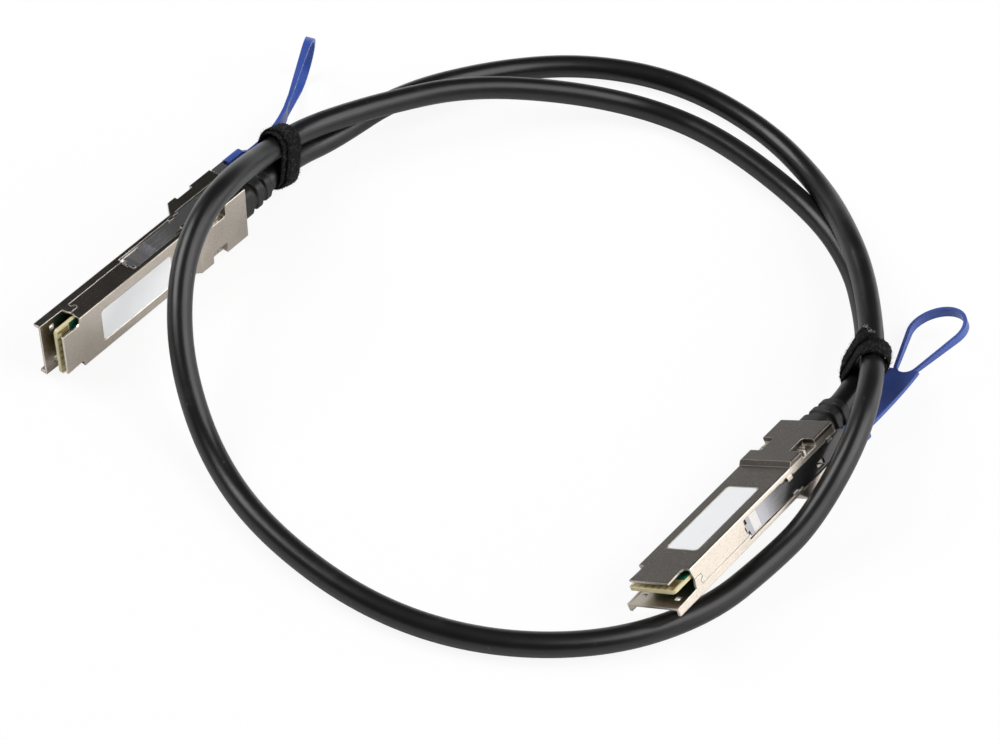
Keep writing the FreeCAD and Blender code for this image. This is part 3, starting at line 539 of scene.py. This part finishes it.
def winding(strands, axis, start, flap, turns, hand, cut):
    """Middle of a wound strap: lengths along it, points, outward directions, one turn's length.

    It runs along a stadium round the two strands' centres: a straight, a half circle, a straight
    back and a half circle.  The radius grows by one strap thickness a turn.  Past the last turn
    the flap goes on in a straight line that lifts off with the square of its length.
    """
    one, two = strands
    rise = two - one
    gap = np.linalg.norm(rise)
    rise /= gap
    aside = np.cross(axis, rise) * hand
    inner = CABLE_D / 2 + TIE_GAP + TIE_T / 2
    half = math.pi * inner
    loop = 2 * gap + 2 * half
    total = turns * loop + flap
    s = np.linspace(0, total + cut, int((total + cut) / TIE_STEP))
    lap = s / loop
    t = ((lap + start) % 1.0) * loop
    none = np.zeros_like(t)
    legs = [t < gap, t < gap + half, t < 2 * gap + half]
    angle = np.select(legs, [none, (t - gap) / inner, none + math.pi],
                      math.pi + (t - 2 * gap - half) / inner)
    foot = np.select(legs, [t, none + gap, 2 * gap + half - t], none)
    radius = inner + TIE_T * np.clip(lap, 0, turns)
    out = np.cos(angle)[:, None] * aside + np.sin(angle)[:, None] * rise
    path = one + foot[:, None] * rise + radius[:, None] * out

    free = s > turns * loop
    if free.any():
        k = np.flatnonzero(free)[0] - 1
        go = path[k] - path[k - 1]
        go /= np.linalg.norm(go)
        away = out[k]
        far = (s[free] - s[k])[:, None]
        path[free] = path[k] + far * go * 0.96 + away * 0.020 * far ** 2
        out[free] = away - 0.04 * far * go
        out /= np.linalg.norm(out, axis=1, keepdims=True)
    return s, path, out, loop


def strap_values(at, lengths, values):
    """Points or directions at lengths along the strap, straight between the known ones."""
    return np.stack([np.interp(at, lengths, values[:, k]) for k in range(3)], axis=-1)


def fibres(name, finish, rng, roots, tips, bow, thick):
    """Piece of fibres whose bends and thicknesses are drawn."""
    bend = rng.normal(0, bow, roots.shape)
    width = rng.uniform(*thick, len(roots))
    return placed(name, hair_mesh(name, roots, tips, bend, width), FINISHES[finish],
                  "cable")


def tie(name, line, centre, along, start, flap, turns, slant, hand, cut):
    """Fuzzy strap wound round the two strands, with its pile and the threads of a frayed end.

    Each ring is a flat rounded band across the winding's middle, drawn in at both ends.  The strap
    drifts aside by a smooth step from the inner to the outer turn, and by another over its tail.
    The cut end lags on one side by the square of the way into the last stretch.  Every point
    stands off by a sum of small waves and a drawn share, which makes the pile's uneven outline.
    """
    rng = np.random.default_rng(len(name) + ord(name[-1]))
    axis = np.array(along, float) / np.linalg.norm(along)
    strands = strands_at(line, centre, axis)
    lengths, path, out, loop = winding(strands, axis, start, flap, turns, hand, cut)
    total = turns * loop + flap
    s = np.linspace(0, total, int(total / TIE_STEP))[:, None]
    drift = TIE_SHIFT * (1 / (1 + np.exp(-(s / loop - turns / 2) * 9)) - 0.5)
    tail = np.clip((s - total + TAIL_L) / TAIL_L, 0, 1)
    drift = drift + slant * tail ** 2 * (3 - 2 * tail)

    u = np.arange(TIE_AROUND) * 2 * math.pi / TIE_AROUND
    close = np.sqrt(np.clip(np.minimum(s, total - s) / TIE_END, 0.02, 1))
    ragged = 1 + 0.05 * np.sin(3.1 * s + 1.0) * np.sin(1.3 * s)
    wide = power_of(np.cos(u), TIE_POWER) * TIE_W / 2 * ragged * (0.75 + 0.25 * close)
    high = power_of(np.sin(u), TIE_POWER) * TIE_T / 2 * close
    at = s - cut * np.cos(u) * np.clip((s - total + CUT_L) / CUT_L, 0, 1) ** 2
    path, out = strap_values(at, lengths, path), strap_values(at, lengths, out)

    # A wave turns by a per millimetre of strap and b times 7 whole times round a ring
    draws = zip(rng.uniform(3, 13, PILE_WAVES), rng.integers(-3, 4, PILE_WAVES),
                rng.uniform(0, 6, PILE_WAVES))
    waves = sum(np.sin(a * s + b * u * 7 + c) for a, b, c in draws)
    fluff = PILE * (0.45 * waves / 3.4 + rng.uniform(-0.7, 0.7, waves.shape))
    fluff *= np.where(np.sin(u) > -0.2, 1.0, 0.15)      # little pile on the inner face
    lift = high + fluff * np.sin(u) * close
    spread = wide + fluff * np.cos(u) + drift
    rings = path + out * lift[..., None] + axis * spread[..., None]
    body = tube_mesh(name + "_strap", rings[:, ::-hand])
    strap = placed(name + "_strap", body, FINISHES["tie"], "cable")
    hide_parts(name)

    # The pile's fibres: on the outer turn, and on the edges of the whole strap
    i = rng.integers(2, len(s) - 2, FIBRE_COUNT)
    j = rng.integers(0, TIE_AROUND, FIBRE_COUNT)
    keep = (np.sin(u[j]) > -0.15) & ((s[i, 0] > 0.45 * total) | (np.abs(np.cos(u[j])) > 0.9))
    i, j = i[keep], j[keep]
    normal = out[i, j] * np.sin(u[j])[:, None] + axis * np.cos(u[j])[:, None] * 0.9
    lean = rng.normal(0, 0.75, normal.shape)
    tips = rings[i, j] + (normal + lean) * rng.uniform(0.15, 0.55, len(i))[:, None]
    fuzz = fibres(name + "_fuzz", "tie", rng, rings[i, j] - normal * 0.05, tips, 0.10, (0.020, 0.038))
    pieces = [strap, fuzz]
    if flap:
        j = rng.integers(0, TIE_AROUND, THREAD_COUNT)
        roots = rings[-3, j]
        go = path[-1, j] - path[-4, j]
        go /= np.linalg.norm(go, axis=1, keepdims=True)
        tips = roots + go * rng.uniform(0.3, 1.5, len(j))[:, None] + rng.normal(0, 0.22, roots.shape)
        pieces.append(fibres(name + "_threads", "thread", rng, roots, tips, 0.12, (0.03, 0.06)))
    return pieces


# ---- boots -------------------------------------------------------------------
def boot(tag):
    """Boot behind a plug: a block and two ribs with deep round grooves between them.

    Rings stand across the plug's axis.  Each is a rounded box, a circle raised to a power in
    width and height, whose half sizes and power follow the stations along the axis.
    """
    behind, wide, high, power = np.array(BOOT_STATIONS).T
    fine = np.unique(np.r_[behind, np.arange(0, behind[-1], BOOT_STEP)])
    wide, high, power = (np.interp(fine, behind, value)[:, None] for value in (wide, high, power))
    u = np.arange(BOOT_AROUND) * 2 * math.pi / BOOT_AROUND
    y = wide * power_of(np.cos(u), power)
    z = CABLE_Z + high * power_of(np.sin(u), power)
    x = np.repeat(fine[:, None] + PLUG_L, BOOT_AROUND, axis=1)
    local = np.stack([x, y, z], axis=-1)
    origin, axes = PLUGS[tag]
    name = "boot_" + tag
    piece = placed(name, tube_mesh(name, local @ axes.T + origin / MM), FINISHES["strain_relief"],
                   "cable")
    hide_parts("strain_relief_" + tag)


# ---- cable -------------------------------------------------------------------
def cable():
    """Jacket along the route, with the two ties on it."""
    line = centre_line()
    ties = [piece for name, values in TIES.items() for piece in tie(name, line, **values)]
    piece = placed("jacket", route_curve("jacket", CABLE_D / 2 * MM), FINISHES["cable_jacket"],
                   "cable")
    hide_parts("cable_jacket")


cable()
for tag in PLUGS:
    boot(tag)


# ---- floor, light and camera -------------------------------------------------
def floor():
    """White floor that keeps the shadows."""
    data = bpy.data.meshes.new("floor")
    r = FLOOR_HALF * MM
    data.from_pydata([(-r, -r, 0), (r, -r, 0), (r, r, 0), (-r, r, 0)], [], [(0, 1, 2, 3)])
    n = Nodes("floor")
    seen = n.add("ShaderNodeLightPath").outputs["Is Camera Ray"]
    tone = n.mix(seen, (FLOOR_TONE,) * 3, (FLOOR_TONE * (1 - FLOOR_GLOW),) * 3)
    placed("floor", data, n.finish(
        Base_Color=tone, Roughness=0.9, Specular_IOR_Level=0.0,
        Emission_Color=(1, 1, 1, 1), Emission_Strength=n.math("MULTIPLY", seen, FLOOR_GLOW)))


def panel(name, at, aim, size, power, tint=(1, 1, 1)):
    """Soft flat lamp at a place, turned towards a point.  Its lengths are in metres."""
    lamp = bpy.data.lights.new(name, "AREA")
    lamp.shape = "RECTANGLE"
    lamp.size, lamp.size_y = size
    lamp.energy = power
    lamp.color = tint
    piece = bpy.data.objects.new(name, lamp)
    bpy.context.scene.collection.objects.link(piece)
    back = np.array(at, float) - np.array(aim, float)
    back /= np.linalg.norm(back)
    side = np.cross((0, 0, 1), back)
    side /= np.linalg.norm(side)
    up = np.cross(back, side)
    piece.matrix_world = Matrix([(*row, p) for row, p in zip(np.c_[side, up, back], at)] + [(0, 0, 0, 1)])


def surroundings():
    """Studio seen by the metal: pale near the floor, dark above and behind."""
    world = bpy.data.worlds.new("studio")
    bpy.context.scene.world = world
    world.use_nodes = True
    tree = world.node_tree
    place = tree.nodes.new("ShaderNodeTexCoord")
    split = tree.nodes.new("ShaderNodeSeparateXYZ")
    tree.links.new(place.outputs["Generated"], split.inputs[0])
    ramp = tree.nodes.new("ShaderNodeValToRGB")
    low, high = ramp.color_ramp.elements
    low.position = 0.06
    low.color = (0.95, 0.95, 0.95, 1)
    high.position = 0.30
    high.color = (0.05, 0.05, 0.052, 1)
    tree.links.new(split.outputs["Z"], ramp.inputs["Fac"])
    tree.links.new(ramp.outputs["Color"], tree.nodes["Background"].inputs["Color"])
    tree.nodes["Background"].inputs["Strength"].default_value = 1.0


floor()
surroundings()
panel("lamp_top", (0.50, -0.95, 1.25), (0, 0, 0), (1.4, 1.3), 22)
panel("lamp_back", (-0.35, 1.2, 1.3), (0, 0, 0), (1.2, 1.0), 24)
panel("lamp_right", (0.75, -1.2, 0.50), (0, 0, 0.1), (2.2, 0.9), 9, (1, 0.99, 0.975))

camera = bpy.data.cameras.new("camera")
camera.lens = LENS
camera.clip_end = 50
view = bpy.data.objects.new("camera", camera)
bpy.context.scene.collection.objects.link(view)
right, up = np.array(CAMERA_RIGHT), np.array(CAMERA_UP)
turned = Matrix(np.c_[right, up, np.cross(right, up)]).to_quaternion().to_matrix()
view.matrix_world = Matrix.Translation([c * MM for c in CAMERA_AT]) @ turned.to_4x4()
bpy.context.scene.camera = view
bpy.context.scene.view_settings.view_transform = "Standard"
